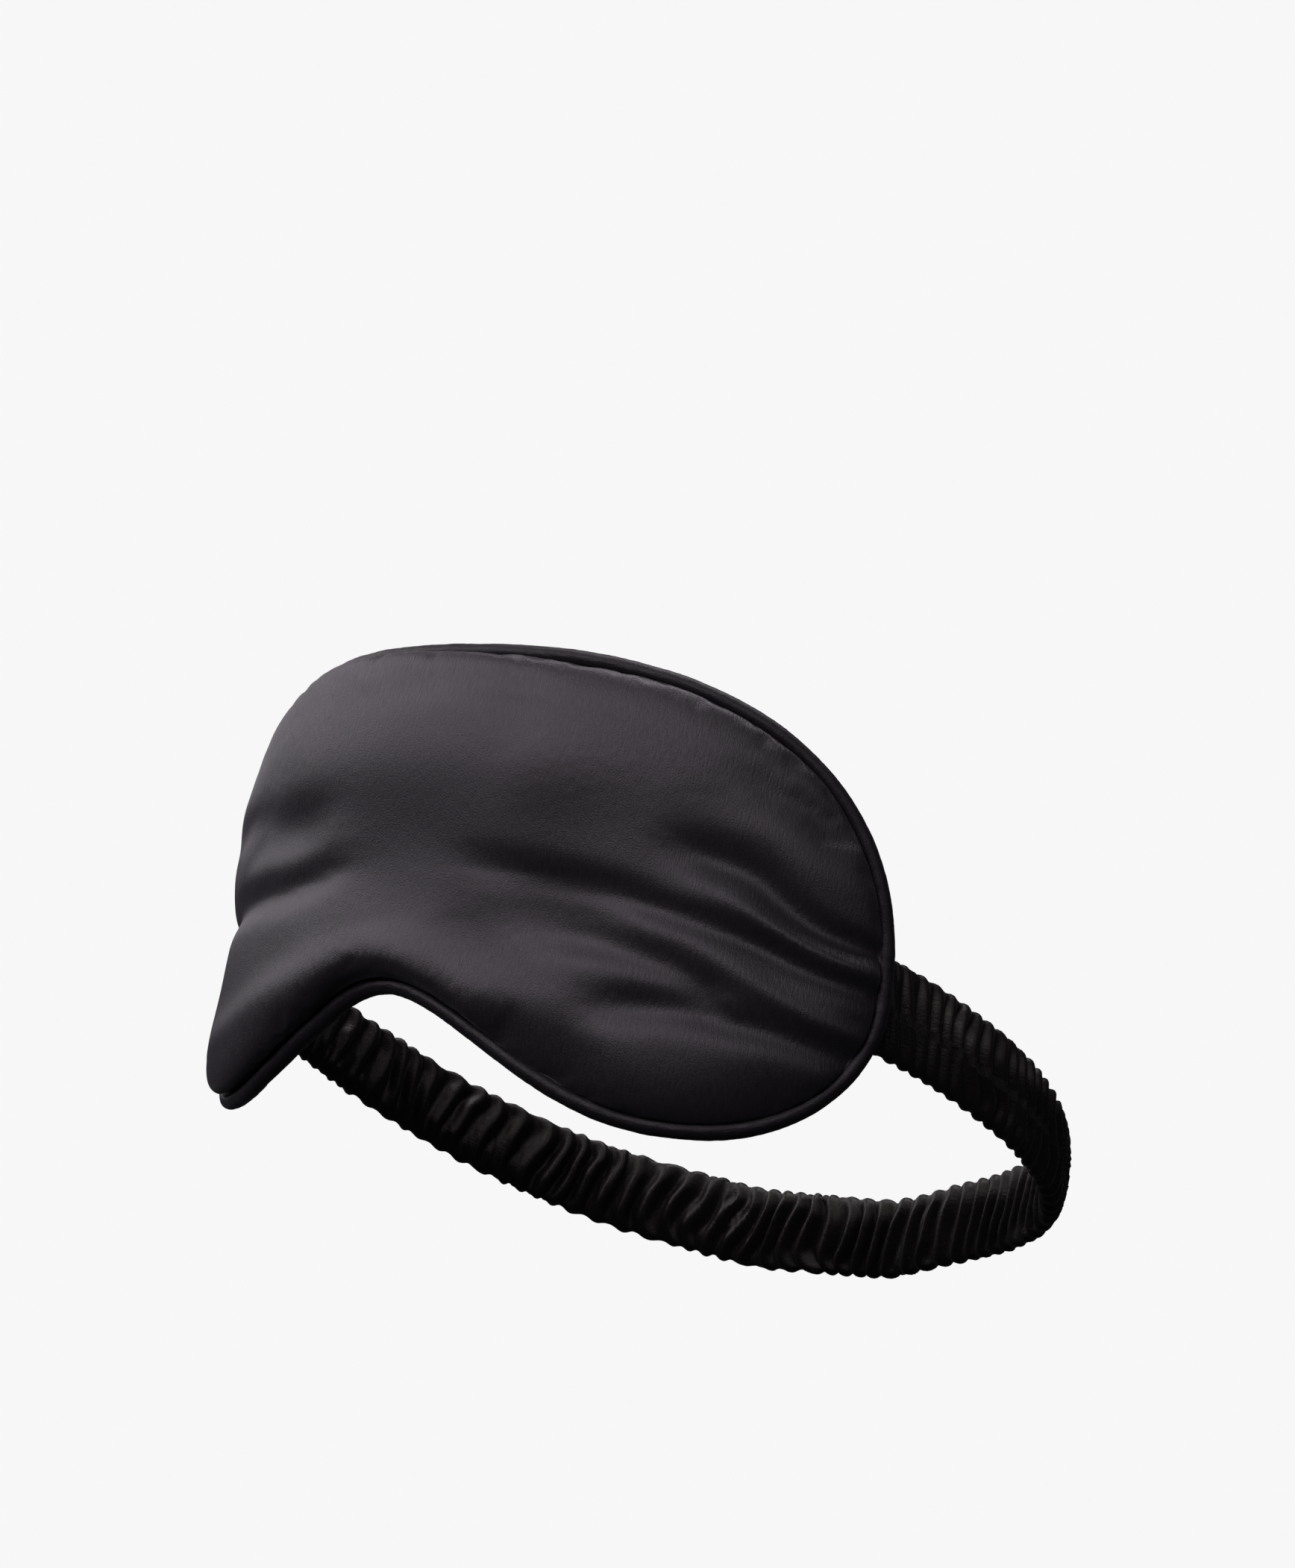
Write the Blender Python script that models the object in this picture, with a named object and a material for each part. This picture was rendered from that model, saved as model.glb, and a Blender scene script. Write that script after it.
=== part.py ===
"""Sleep eye mask: a padded, piped silk mask and a gathered elastic band, one object for each piece.

Frame: +Z up and +Y towards the wearer's head, in metres. The origin is on the eye side of the mask,
in its middle, at the level of the eyes. The flat pattern has u across and v up. wrap() bends it
round the face, and an offset is measured from the middle layer, positive towards the front.
"""

import math

import bmesh
import bpy
import numpy as np
from mathutils import Matrix, Vector

# Flat pattern of the mask
HALF_WIDTH = 0.1083
TOP_HEIGHT = 0.0539
TOP_SQUARENESS = (3.06, 2.27)
SIDE_LEVEL = -0.0112
LOBE_LEVEL = -0.0437
LOBE_AT = 0.0662
LOBE_SQUARENESS = (2.27, 1.905)
NOSE_LEVEL = -0.0198
NOSE_SHARPNESS = 0.84

# Bend round the face: the heading grows by BEND radians per metre and eases off towards the sides
BEND = 9.74
BEND_EASING = 160.0

# Cloth, padding and piping
CLOTH = 0.0005
GAP = 0.0003
EDGE_OFFSET = 0.0013
FRONT_CROWN = 0.0055
BACK_CROWN = 0.0032
CROWN_WIDTH = 0.026
PIPING_RADIUS = 0.0019
STRIP_CLOTH = 0.0004
FLANGE_LENGTH = 0.005
FLANGE_SPLIT = 0.00015
CORD_RADIUS = PIPING_RADIUS - STRIP_CLOTH - GAP
PANEL_INSET = PIPING_RADIUS + GAP
PAD_INSET = PANEL_INSET + FLANGE_LENGTH + 2 * GAP
PAD_CLEARANCE = 0.0008
LINER_HALF = 0.0002
THREAD_RADIUS = 0.00025
SEAM_FROM_EDGE = 0.0012

# Band: a gathered tube round a flat elastic
BAND_HEIGHT = 0.020
BAND_THICKNESS = 0.0075
ROOT_THICKNESS = 0.0042
ROOT_TAPER = 0.018
ROOT_INSET = 0.004
ROOT_LEVEL = -0.0122
BAND_PULL = (0.0213, 0.0887)
BAND_REACH = 0.169
BAND_CORNER = 0.0574
BAND_FLAT = 0.030
BAND_SLOPE = -0.148
BAND_DROOP = -1.16
ELASTIC_HEIGHT = 0.014
ELASTIC_THICKNESS = 0.001
BACK_TO_MIDDLE = EDGE_OFFSET + BACK_CROWN

# Bar tacks in the seam allowance
TACK_HALF_WIDTH = 0.0008
TACK_HALF_HEIGHT = 0.0065
TACK_DEPTH = 0.0005
TACK_RIM = 0.0032

# Mesh resolution
OUTLINE_SAMPLES = 240
PIPING_STATIONS = 72
BAND_STATIONS = 18
PANEL_CELLS = (30, 8)
PAD_CELLS = (24, 8)
LINER_CELLS = (22, 3)
STITCH_STATION = 2


# ---------------------------------------------------------------- pattern and bend


def upper_edge(u):
    across, up = TOP_SQUARENESS
    share = max(0.0, 1 - (abs(u) / HALF_WIDTH) ** across)
    return SIDE_LEVEL + (TOP_HEIGHT - SIDE_LEVEL) * share ** (1 / up)


def lower_edge(u):
    if abs(u) > LOBE_AT:
        across, down = LOBE_SQUARENESS
        share = (abs(u) - LOBE_AT) / (HALF_WIDTH - LOBE_AT)
        return SIDE_LEVEL + (LOBE_LEVEL - SIDE_LEVEL) * max(0.0, 1 - share**across) ** (1 / down)
    turn = math.pi * (abs(u) / LOBE_AT) ** NOSE_SHARPNESS
    return NOSE_LEVEL + (LOBE_LEVEL - NOSE_LEVEL) * (1 - math.cos(turn)) / 2


def outline(count):
    """Points evenly spaced round the pattern's edge, anticlockwise seen from the front."""
    quarter = [HALF_WIDTH * math.sin(math.pi / 2 * i / OUTLINE_SAMPLES) for i in range(OUTLINE_SAMPLES + 1)]
    across = [-u for u in reversed(quarter)] + quarter[1:]
    dense = [(u, lower_edge(u)) for u in across] + [(u, upper_edge(u)) for u in reversed(across)][1:]
    dense = np.array(dense)
    run = np.concatenate([[0], np.cumsum(np.linalg.norm(np.diff(dense, axis=0), axis=1))])
    at = np.arange(count) / count * run[-1]
    return np.column_stack([np.interp(at, run, dense[:, k]) for k in (0, 1)])


def outward(points):
    """The unit normal in the pattern at each point of a closed outline."""
    along = np.roll(points, -1, axis=0) - np.roll(points, 1, axis=0)
    along /= np.linalg.norm(along, axis=1)[:, None]
    return np.column_stack([along[:, 1], -along[:, 0]])


def plan(u):
    """Where the middle layer is in plan, and its heading, at u along the bend."""
    steps = 24
    x = y = 0.0
    for i in range(steps):
        s = abs(u) * (i + 0.5) / steps
        heading = BEND * s - BEND_EASING * s**3
        x += math.cos(heading) * abs(u) / steps
        y += math.sin(heading) * abs(u) / steps
    heading = BEND * abs(u) - BEND_EASING * abs(u) ** 3
    return math.copysign(x, u), y - BACK_TO_MIDDLE, math.copysign(heading, u)


def wrap(u, v, offset):
    """A point of the pattern, bent round the face and moved off the middle layer."""
    x, y, heading = plan(u)
    return Vector((x + offset * math.sin(heading), y - offset * math.cos(heading), v))


# ---------------------------------------------------------------- mesh helpers


def material(name, colour, roughness):
    made = bpy.data.materials.get(name) or bpy.data.materials.new(name)
    made.use_nodes = True
    shader = made.node_tree.nodes["Principled BSDF"]
    shader.inputs["Base Color"].default_value = (*colour, 1)
    shader.inputs["Roughness"].default_value = roughness
    shader.inputs["Metallic"].default_value = 0
    return made


def finish(name, bm, surface):
    """Makes the mesh an object of its own, shaded smooth up to a crease of 40 degrees."""
    bmesh.ops.recalc_face_normals(bm, faces=bm.faces)
    mesh = bpy.data.meshes.new(name)
    bm.to_mesh(mesh)
    bm.free()
    mesh.materials.append(surface)
    mesh.shade_smooth()
    mesh.set_sharp_from_angle(angle=math.radians(40))
    piece = bpy.data.objects.new(name, mesh)
    bpy.context.scene.collection.objects.link(piece)
    return piece


def sweep(name, sections, surface, closed):
    """A solid through closed sections. A closed run joins its last section to its first."""
    bm = bmesh.new()
    rings = [[bm.verts.new(p) for p in section] for section in sections]
    runs = list(zip(rings, rings[1:])) + ([(rings[-1], rings[0])] if closed else [])
    for first, second in runs:
        for i in range(len(first)):
            j = (i + 1) % len(first)
            bm.faces.new((first[i], first[j], second[j], second[i]))
    if not closed:
        bm.faces.new(rings[0])
        bm.faces.new(rings[-1])
    return finish(name, bm, surface)


def hollow_sweep(name, outer, inner, surface):
    """A tube with open ends between two runs of sections."""
    bm = bmesh.new()
    walls = [[[bm.verts.new(p) for p in section] for section in run] for run in (outer, inner)]
    for rings in walls:
        for first, second in zip(rings, rings[1:]):
            for i in range(len(first)):
                j = (i + 1) % len(first)
                bm.faces.new((first[i], first[j], second[j], second[i]))
    for end in (0, -1):
        out, within = walls[0][end], walls[1][end]
        for i in range(len(out)):
            j = (i + 1) % len(out)
            bm.faces.new((out[i], out[j], within[j], within[i]))
    return finish(name, bm, surface)


# ---------------------------------------------------------------- padded layers


def crown(distance):
    """Rises from 0 at the seam to 1 where the padding is full."""
    share = min(1.0, distance / CROWN_WIDTH)
    return math.sqrt(1 - (1 - share) ** 2)


def front_face(distance):
    return EDGE_OFFSET + FRONT_CROWN * crown(distance)


def back_face(distance):
    return -EDGE_OFFSET - BACK_CROWN * crown(distance)


def layer_grid(inset, columns, rows):
    """The pattern, cut smaller by inset, as columns of (u, v, distance from the panels' seam)."""
    edge = outline(OUTLINE_SAMPLES)
    seam = edge - PANEL_INSET * outward(edge)
    cut = edge - inset * outward(edge)
    right = int(cut[:, 0].argmax())
    left = int(cut[:, 0].argmin())
    cut = np.roll(cut, -left, axis=0)
    turn = (right - left) % len(cut)
    low = cut[: turn + 1]
    high = np.concatenate([cut[turn:], cut[:1]])[::-1]
    reach = cut[:, 0].max()
    even = [(1 - math.cos(math.pi * j / rows)) / 2 for j in range(rows + 1)]
    grid = []
    for i in range(columns + 1):
        u = -reach * math.cos(math.pi * i / columns)
        bottom = float(np.interp(u, low[:, 0], low[:, 1]))
        top = float(np.interp(u, high[:, 0], high[:, 1]))
        shares = [0.5] if i in (0, columns) else even
        column = [(u, bottom + (top - bottom) * share) for share in shares]
        grid.append([(u, v, float(np.hypot(seam[:, 0] - u, seam[:, 1] - v).min())) for u, v in column])
    return grid


def add_sheet(bm, grid, offset):
    """Faces over one grid, at an offset that depends on the distance from the seam."""
    columns = [[bm.verts.new(wrap(u, v, offset(d))) for u, v, d in column] for column in grid]
    for first, second in zip(columns, columns[1:]):
        for j in range(max(len(first), len(second)) - 1):
            corners = [
                first[min(j, len(first) - 1)],
                second[min(j, len(second) - 1)],
                second[min(j + 1, len(second) - 1)],
                first[min(j + 1, len(first) - 1)],
            ]
            bm.faces.new(list(dict.fromkeys(corners)))
    return columns


def layer(name, outer, inner, inset, cells, surface):
    """A solid between two offsets from the middle layer, its edge cut smaller by inset."""
    bm = bmesh.new()
    grid = layer_grid(inset, *cells)
    add_sheet(bm, grid, outer)
    add_sheet(bm, grid, inner)
    bmesh.ops.bridge_loops(bm, edges=[e for e in bm.edges if e.is_boundary])
    return finish(name, bm, surface)


def padded_body(silk, wadding, lining):
    """The five layers, front to back."""
    below_cloth = CLOTH + PAD_CLEARANCE
    liner_clear = LINER_HALF + GAP
    return [
        layer("front_panel", front_face, lambda d: front_face(d) - CLOTH, PANEL_INSET, PANEL_CELLS, silk),
        layer(
            "front_filler",
            lambda d: front_face(d) - below_cloth,
            lambda d: liner_clear,
            PAD_INSET,
            PAD_CELLS,
            wadding,
        ),
        layer("blackout_liner", lambda d: LINER_HALF, lambda d: -LINER_HALF, PAD_INSET, LINER_CELLS, lining),
        layer(
            "back_filler",
            lambda d: back_face(d) + below_cloth,
            lambda d: -liner_clear,
            PAD_INSET,
            PAD_CELLS,
            wadding,
        ),
        layer("back_panel", back_face, lambda d: back_face(d) + CLOTH, PANEL_INSET, PANEL_CELLS, silk),
    ]


# ---------------------------------------------------------------- piping


def ring_sections(profile):
    """The profile's (outward, front) points at each station round the outline."""
    points = outline(PIPING_STATIONS)
    normals = outward(points)
    sections = []
    for (u, v), (nu, nv) in zip(points, normals):
        sections.append([wrap(u + a * nu, v + a * nv, c) for a, c in profile])
    return sections


def arc(radius, start, end, steps):
    """Points on an arc round the piping's middle, from one angle to another, in degrees."""
    angles = [math.radians(start + (end - start) * i / steps) for i in range(steps + 1)]
    return [(radius * math.cos(t), radius * math.sin(t)) for t in angles]


def strip_profile():
    """The bias strip in section: round the cord, with two flanges that run into the seam."""
    inner = PIPING_RADIUS - STRIP_CLOTH
    flange_end = -PIPING_RADIUS - FLANGE_LENGTH
    half = FLANGE_SPLIT + STRIP_CLOTH
    mouth_out = math.degrees(math.asin(half / PIPING_RADIUS))
    mouth_in = math.degrees(math.asin(FLANGE_SPLIT / inner))
    outside = arc(PIPING_RADIUS, mouth_out - 180, 180 - mouth_out, 7)
    inside = arc(inner, 180 - mouth_in, mouth_in - 180, 6)
    return (
        [(flange_end, -half)]
        + outside
        + [(flange_end, half), (flange_end, FLANGE_SPLIT)]
        + inside
        + [(flange_end, -FLANGE_SPLIT)]
    )


def disc_profile(radius, sides, middle=(0.0, 0.0)):
    turns = [2 * math.pi * i / sides for i in range(sides)]
    return [(middle[0] + radius * math.cos(t), middle[1] + radius * math.sin(t)) for t in turns]


def piping(silk, cotton, thread):
    """The bias strip, the cord inside it, and the thread that sews all the layers together."""
    seam_line = (-PANEL_INSET - SEAM_FROM_EDGE, FLANGE_SPLIT + STRIP_CLOTH + GAP + THREAD_RADIUS)
    seam = disc_profile(THREAD_RADIUS, 4, seam_line)
    return [
        sweep("piping_strip", ring_sections(strip_profile()), silk, closed=True),
        sweep("piping_cord", ring_sections(disc_profile(CORD_RADIUS, 6)), cotton, closed=True),
        sweep("perimeter_seam_thread", ring_sections(seam), thread, closed=True),
    ]


# ---------------------------------------------------------------- band


def band_root():
    """Where the band's middle line starts, behind the right-hand end of the mask."""
    return wrap(HALF_WIDTH - ROOT_INSET, ROOT_LEVEL, -PIPING_RADIUS - GAP - ROOT_THICKNESS / 2 - 0.0006)


def band_level(y, root):
    back = y - root.y
    return root.z + BAND_SLOPE * back + BAND_DROOP * back**2


def band_line():
    """(point, sideways direction, distance from the nearer end) along the band, right end to left end."""
    root = band_root()
    pull = (root.x + BAND_PULL[0], root.y + BAND_PULL[1])
    rear = BAND_REACH - BACK_TO_MIDDLE
    controls = np.array([(root.x, root.y), pull, (BAND_CORNER, rear), (BAND_FLAT / 2, rear)])
    half = []
    for i in range(BAND_STATIONS + 1):
        t = i / BAND_STATIONS
        weights = np.array([(1 - t) ** 3, 3 * t * (1 - t) ** 2, 3 * t * t * (1 - t), t**3])
        x, y = weights @ controls
        half.append(Vector((x, y, band_level(y, root))))
    line = half + [Vector((-p.x, p.y, p.z)) for p in reversed(half)]
    run = [0.0]
    for a, b in zip(line, line[1:]):
        run.append(run[-1] + (b - a).length)
    stations = []
    for i, point in enumerate(line):
        along = line[min(i + 1, len(line) - 1)] - line[max(i - 1, 0)]
        side = Vector((along.y, -along.x, 0)).normalized()
        if i in (BAND_STATIONS, BAND_STATIONS + 1):
            side = Vector((0, 1, 0))
        stations.append((point, side, min(run[i], run[-1] - run[i])))
    return stations


def stadium(half_height, half_thickness):
    """A flat oval section: (sideways, up) points."""
    straight = half_height - half_thickness
    turns = [math.pi * i / 4 for i in range(5)]
    upper = [(half_thickness * math.cos(t), straight + half_thickness * math.sin(t)) for t in turns]
    return upper + [(-a, -b) for a, b in upper]


def band_sections(inset):
    """The tube's outer sections, or smaller ones by inset."""
    sections = []
    for point, side, from_end in band_line():
        ease = min(1.0, from_end / ROOT_TAPER)
        ease = ease * ease * (3 - 2 * ease)
        thickness = ROOT_THICKNESS + (BAND_THICKNESS - ROOT_THICKNESS) * ease
        profile = stadium(BAND_HEIGHT / 2 - inset, thickness / 2 - inset)
        sections.append([point + a * side + Vector((0, 0, b)) for a, b in profile])
    return sections


def band(silk, elastic, thread):
    """The gathered tube, the flat elastic inside it, and the seam that closes the tube along its top."""
    flat, seam = [], []
    half, rise = ELASTIC_THICKNESS / 2, ELASTIC_HEIGHT / 2
    seam_rise = BAND_HEIGHT / 2 - CLOTH - 2 * GAP - THREAD_RADIUS
    for point, side, _ in band_line():
        corners = ((half, rise), (-half, rise), (-half, -rise), (half, -rise))
        flat.append([point + a * side + Vector((0, 0, b)) for a, b in corners])
        round_thread = disc_profile(THREAD_RADIUS, 4, (0.0, seam_rise))
        seam.append([point + a * side + Vector((0, 0, b)) for a, b in round_thread])
    return [
        hollow_sweep("band_tube", band_sections(0.0), band_sections(CLOTH), silk),
        sweep("band_elastic", flat, elastic, closed=False),
        sweep("band_seam_thread", seam, thread, closed=False),
    ]


def end_stitches(thread):
    """A turn of thread round the elastic near each of its ends, where the tube's gathers are sewn to it."""
    stations = band_line()
    clearance = GAP + THREAD_RADIUS
    half, rise = ELASTIC_THICKNESS / 2 + clearance, ELASTIC_HEIGHT / 2 + clearance
    turns = []
    for name, index in (("right", STITCH_STATION), ("left", len(stations) - 1 - STITCH_STATION)):
        point, side, _ = stations[index]
        along = Vector((-side.y, side.x, 0))
        turn = []
        for across, up in ((half, rise), (-half, rise), (-half, -rise), (half, -rise)):
            middle = point + across * side + Vector((0, 0, up))
            out = (math.copysign(1, across) * side + Vector((0, 0, math.copysign(1, up)))).normalized()
            turn.append([middle + a * out + b * along for a, b in disc_profile(THREAD_RADIUS, 4)])
        turns.append(sweep("end_stitches_" + name, turn, thread, closed=True))
    return turns


def bar_tacks(thread):
    """A dense bar of thread inside each side of the mask, which holds the band's end in the seam."""
    shallow = FLANGE_SPLIT + STRIP_CLOTH + GAP
    deep = shallow + TACK_DEPTH
    width = TACK_HALF_WIDTH
    corners = ((-width, -shallow), (width, -shallow), (width, -deep), (-width, -deep))
    tacks = []
    for name, side in (("right", 1), ("left", -1)):
        middle = side * (HALF_WIDTH - PAD_INSET + TACK_RIM)
        levels = [ROOT_LEVEL + TACK_HALF_HEIGHT * step / 3 for step in range(-3, 4)]
        bar = [[wrap(middle + a, v, c) for a, c in corners] for v in levels]
        tacks.append(sweep("bar_tack_" + name, bar, thread, closed=False))
    return tacks


# ---------------------------------------------------------------- assembly


def group(name, place, pieces, parent=None):
    """An empty at place that carries the pieces, which keep their positions."""
    empty = bpy.data.objects.new(name, None)
    empty.location = place - (parent.location if parent else Vector())
    empty.parent = parent
    bpy.context.scene.collection.objects.link(empty)
    for piece in pieces:
        piece.parent = empty
        piece.matrix_parent_inverse = Matrix.Translation(-place)
    return empty


def build():
    for old in list(bpy.data.objects):
        bpy.data.objects.remove(old)
    silk = material("black_silk", (0.012, 0.011, 0.012), 0.42)
    wadding = material("silk_wadding", (0.72, 0.70, 0.64), 0.95)
    lining = material("blackout_lining", (0.02, 0.02, 0.02), 0.9)
    cotton = material("cotton_cord", (0.62, 0.60, 0.54), 0.95)
    elastic = material("woven_elastic", (0.03, 0.03, 0.03), 0.8)
    thread = material("polyester_thread", (0.015, 0.015, 0.015), 0.6)
    root = band_root()
    swing_axis = Vector((0, root.y, root.z))
    mask_pieces = padded_body(silk, wadding, lining) + piping(silk, cotton, thread) + bar_tacks(thread)
    mask = group("mask", Vector(), mask_pieces)
    ends = group("band_swing_axis", swing_axis, end_stitches(thread), mask)
    group("band_stretch_slide", swing_axis, band(silk, elastic, thread), ends)


build()
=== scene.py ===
import math

import bpy
import numpy as np
from bpy.props import FloatProperty, FloatVectorProperty, PointerProperty
from bpy.types import Operator, Panel, PropertyGroup
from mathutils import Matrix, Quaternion, Vector, noise
from mathutils.geometry import delaunay_2d_cdt


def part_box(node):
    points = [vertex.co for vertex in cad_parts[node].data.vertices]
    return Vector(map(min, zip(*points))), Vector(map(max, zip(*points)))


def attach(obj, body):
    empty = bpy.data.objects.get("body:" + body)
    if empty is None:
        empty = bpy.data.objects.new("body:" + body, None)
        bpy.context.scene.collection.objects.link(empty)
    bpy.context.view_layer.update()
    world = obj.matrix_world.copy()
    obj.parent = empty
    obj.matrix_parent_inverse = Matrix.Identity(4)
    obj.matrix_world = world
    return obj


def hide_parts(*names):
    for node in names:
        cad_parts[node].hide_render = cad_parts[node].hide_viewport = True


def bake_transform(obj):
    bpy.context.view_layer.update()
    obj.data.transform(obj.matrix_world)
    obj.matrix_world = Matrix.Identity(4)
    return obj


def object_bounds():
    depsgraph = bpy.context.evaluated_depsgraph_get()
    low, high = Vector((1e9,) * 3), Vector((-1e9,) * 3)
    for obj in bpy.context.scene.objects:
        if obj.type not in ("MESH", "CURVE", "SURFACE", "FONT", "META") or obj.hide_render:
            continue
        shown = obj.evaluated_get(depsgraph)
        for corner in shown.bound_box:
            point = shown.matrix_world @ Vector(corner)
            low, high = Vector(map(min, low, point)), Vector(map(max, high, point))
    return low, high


bl_info = {
    "name": "Padded Sleep Mask",
    "version": (1, 0, 0),
    "blender": (4, 5, 0),
    "location": "3D View > Sidebar > Sleep Mask",
    "description": "Builds a padded satin sleep mask with a corded edge and a gathered elastic band",
    "category": "Object",
}

# Metres and +Z up. The mask's front faces -Y and the band goes round the head towards +Y.
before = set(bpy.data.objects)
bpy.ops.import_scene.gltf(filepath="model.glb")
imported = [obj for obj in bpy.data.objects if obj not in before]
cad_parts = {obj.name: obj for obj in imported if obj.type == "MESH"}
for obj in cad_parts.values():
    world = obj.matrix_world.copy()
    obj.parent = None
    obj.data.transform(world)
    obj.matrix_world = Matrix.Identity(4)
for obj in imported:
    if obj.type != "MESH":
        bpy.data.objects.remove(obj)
CAD_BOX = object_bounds()
MM = 0.001

# The flat pattern: u across and v up, with the outline along the middle of the piping
HALF_WIDTH = 0.1083
TOP_HEIGHT = 0.0539
TOP_SQUARENESS = (3.06, 2.27)
SIDE_LEVEL = -0.0112
LOBE_LEVEL = -0.0437
LOBE_AT = 0.0662
LOBE_SQUARENESS = (2.27, 1.905)
NOSE_LEVEL = -0.0198
NOSE_SHARPNESS = 0.84

# Where the soft edge departs from the pattern: (how far up, at u, over what half width)
TOP_SLUMP = (-0.0030, -0.064, 0.020)
NOSE_LIFT = (0.0009, -0.011, 0.008)
LOBE_LIFT = (0.0014, -0.090, 0.011)

# The bend round the face, and how far the eye side lies behind the middle layer
BEND = 9.74
BEND_EASING = 160.0
BEND_STEPS = 400
MIDDLE_LAYER_AT = -0.0045

# The band's middle line, and its section
ROOT_INSET = 0.004
ROOT_OFFSET = -0.0049
ROOT_LEVEL = -0.0122
BAND_PULL = (0.0213, 0.0887)
BAND_REAR = 0.1645
BAND_CORNER = 0.0574
BAND_FLAT_HALF = 0.015
BAND_SLOPE = -0.148
BAND_DROOP = -1.16
STITCHED_AT = 0.028


# ---------------------------------------------------------------- sizes and colours


def measure(name, description, default):
    return FloatProperty(name=name, description=description, default=default, unit="LENGTH")


def tint(name, description, default):
    return FloatVectorProperty(name=name, description=description, default=default, subtype="COLOR", size=3)


class MaskSizes(PropertyGroup):
    """Sizes of the padded part."""

    front_crown: measure("Front crown", "How far the front swells above its seam", 0.0051)
    back_crown: measure("Back crown", "How far the eye side swells above its seam", 0.0034)
    crown_width: measure("Crown width", "Distance from the seam to the full swell", 0.015)
    bulge: measure("Bulge", "How far the filled cloth bulges out over its seam", 0.0012)
    top_bulge: measure("Top bulge", "The bulge at the top of the far side", 0.0032)
    seam_height: measure("Seam height", "Height of the cloth at its seam", 0.0007)
    cloth: measure("Cloth", "Thickness of the satin", 0.0004)
    spacing: measure("Mesh spacing", "Distance between the cloth's points", 0.0018)
    piping_radius: measure("Piping radius", "Outer radius of the corded edge", 0.0019)
    pressure: FloatProperty(
        name="Filling pressure", description="Pressure of the filling in the cloth simulation", default=2.0
    )


class BandSizes(PropertyGroup):
    """Sizes of the gathered band."""

    height: measure("Height", "Height of the gathered tube", 0.0196)
    thickness: measure("Thickness", "Thickness of the gathered tube", 0.0060)
    root_thickness: measure("Root thickness", "Thickness where the tube enters the seam", 0.0036)
    near_spacing: measure("Near spacing", "Distance between the gathers at the right end", 0.0044)
    far_spacing: measure("Far spacing", "Distance between the gathers at the left end", 0.0066)
    fold_depth: measure("Fold depth", "Usual depth of the gathers", 0.0025)
    elastic_height: measure("Elastic height", "Width of the flat elastic", 0.014)
    elastic_thickness: measure("Elastic thickness", "Thickness of the flat elastic", 0.001)


class MaskColours(PropertyGroup):
    """Colours of the cloth, the filling and the room."""

    satin: tint("Satin", "Black silk satin", (0.0150, 0.0128, 0.0160))
    wadding: tint("Wadding", "Undyed wadding", (0.72, 0.70, 0.64))
    lining: tint("Lining", "Blackout lining", (0.02, 0.02, 0.021))
    cord: tint("Cord", "Cotton cord in the piping", (0.62, 0.60, 0.54))
    elastic: tint("Elastic", "Flat woven elastic", (0.03, 0.03, 0.03))
    thread: tint("Thread", "Sewing thread", (0.015, 0.015, 0.016))
    room: tint("Room", "Pale floor and wall", (0.93, 0.93, 0.93))


def sizes():
    return bpy.context.scene.sleep_mask_sizes


def band_sizes():
    return bpy.context.scene.sleep_band_sizes


def colours():
    return bpy.context.scene.sleep_mask_colours


# ---------------------------------------------------------------- pattern, bend and folds


def hump(at, height, middle, width):
    return height * np.exp(-(((at - middle) / width) ** 2))


def distances(line):
    """How far along a line of points each one is."""
    return np.concatenate([[0], np.cumsum(np.linalg.norm(np.diff(line, axis=0), axis=1))])


def places_at(at, run, line):
    """The points at some distances along a line, whose own points are at run."""
    return np.column_stack([np.interp(at, run, line[:, k]) for k in range(line.shape[1])])


def upper_edge(u):
    across, up = TOP_SQUARENESS
    share = np.clip(1 - (np.abs(u) / HALF_WIDTH) ** across, 0, 1)
    return SIDE_LEVEL + (TOP_HEIGHT - SIDE_LEVEL) * share ** (1 / up) + hump(u, *TOP_SLUMP) * share


def lower_edge(u):
    across, down = LOBE_SQUARENESS
    lift = hump(u, *NOSE_LIFT) + hump(u, *LOBE_LIFT)
    u = np.abs(u)
    beyond = np.clip((u - LOBE_AT) / (HALF_WIDTH - LOBE_AT), 0, 1)
    side = SIDE_LEVEL + (LOBE_LEVEL - SIDE_LEVEL) * (1 - beyond**across) ** (1 / down)
    turn = math.pi * np.clip(u / LOBE_AT, 0, 1) ** NOSE_SHARPNESS
    middle = NOSE_LEVEL + (LOBE_LEVEL - NOSE_LEVEL) * (1 - np.cos(turn)) / 2
    return np.where(u > LOBE_AT, side, middle) + lift


def outline(count):
    """Points evenly spaced round the pattern's edge, anticlockwise seen from the front."""
    across = HALF_WIDTH * np.sin(np.linspace(-math.pi / 2, math.pi / 2, 900))
    low = np.column_stack([across, lower_edge(across)])
    high = np.column_stack([across, upper_edge(across)])[::-1]
    loop = np.vstack([low, high[1:]])
    run = distances(loop)
    return places_at(np.arange(count) / count * run[-1], run, loop)


def outward(loop):
    """The unit normal in the pattern at each point of a closed loop."""
    along = np.roll(loop, -1, axis=0) - np.roll(loop, 1, axis=0)
    along /= np.linalg.norm(along, axis=1)[:, None]
    return np.column_stack([along[:, 1], -along[:, 0]])


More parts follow.
